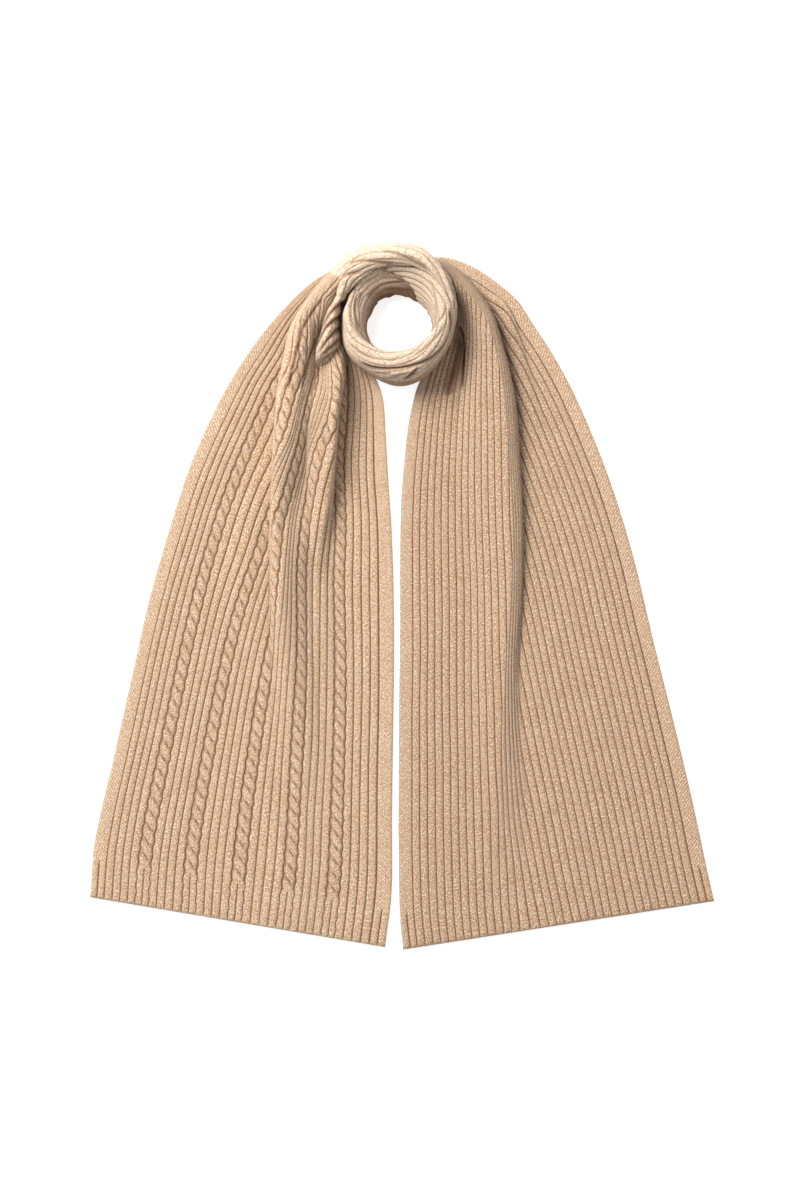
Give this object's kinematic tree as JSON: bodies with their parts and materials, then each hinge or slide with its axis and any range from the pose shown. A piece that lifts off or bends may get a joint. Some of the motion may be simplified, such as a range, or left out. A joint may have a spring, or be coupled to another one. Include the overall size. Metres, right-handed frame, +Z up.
{
  "type": "knit scarf",
  "caption": "Ribbed and cabled knit scarf, wound once into a ring and laid flat with its two tails side by side.",
  "frame": {"origin": "centre of the laid-out scarf's bounding box, on the surface that it lies on", "axes": "+Z up from the surface, +Y from the hems towards the ring, +X towards the tail that shows the plain ribbed back"},
  "size_m": [0.624, 0.707, 0.0675],
  "materials": {
    "knit": "soft heathered wool knit, matt with a light nap"
  },
  "bodies": {
    "root": {"tail_left": "knit", "wrap_over": "knit", "wrap_front": "knit", "wrap_under": "knit", "tail_right": "knit"}
  },
  "joints": []
}
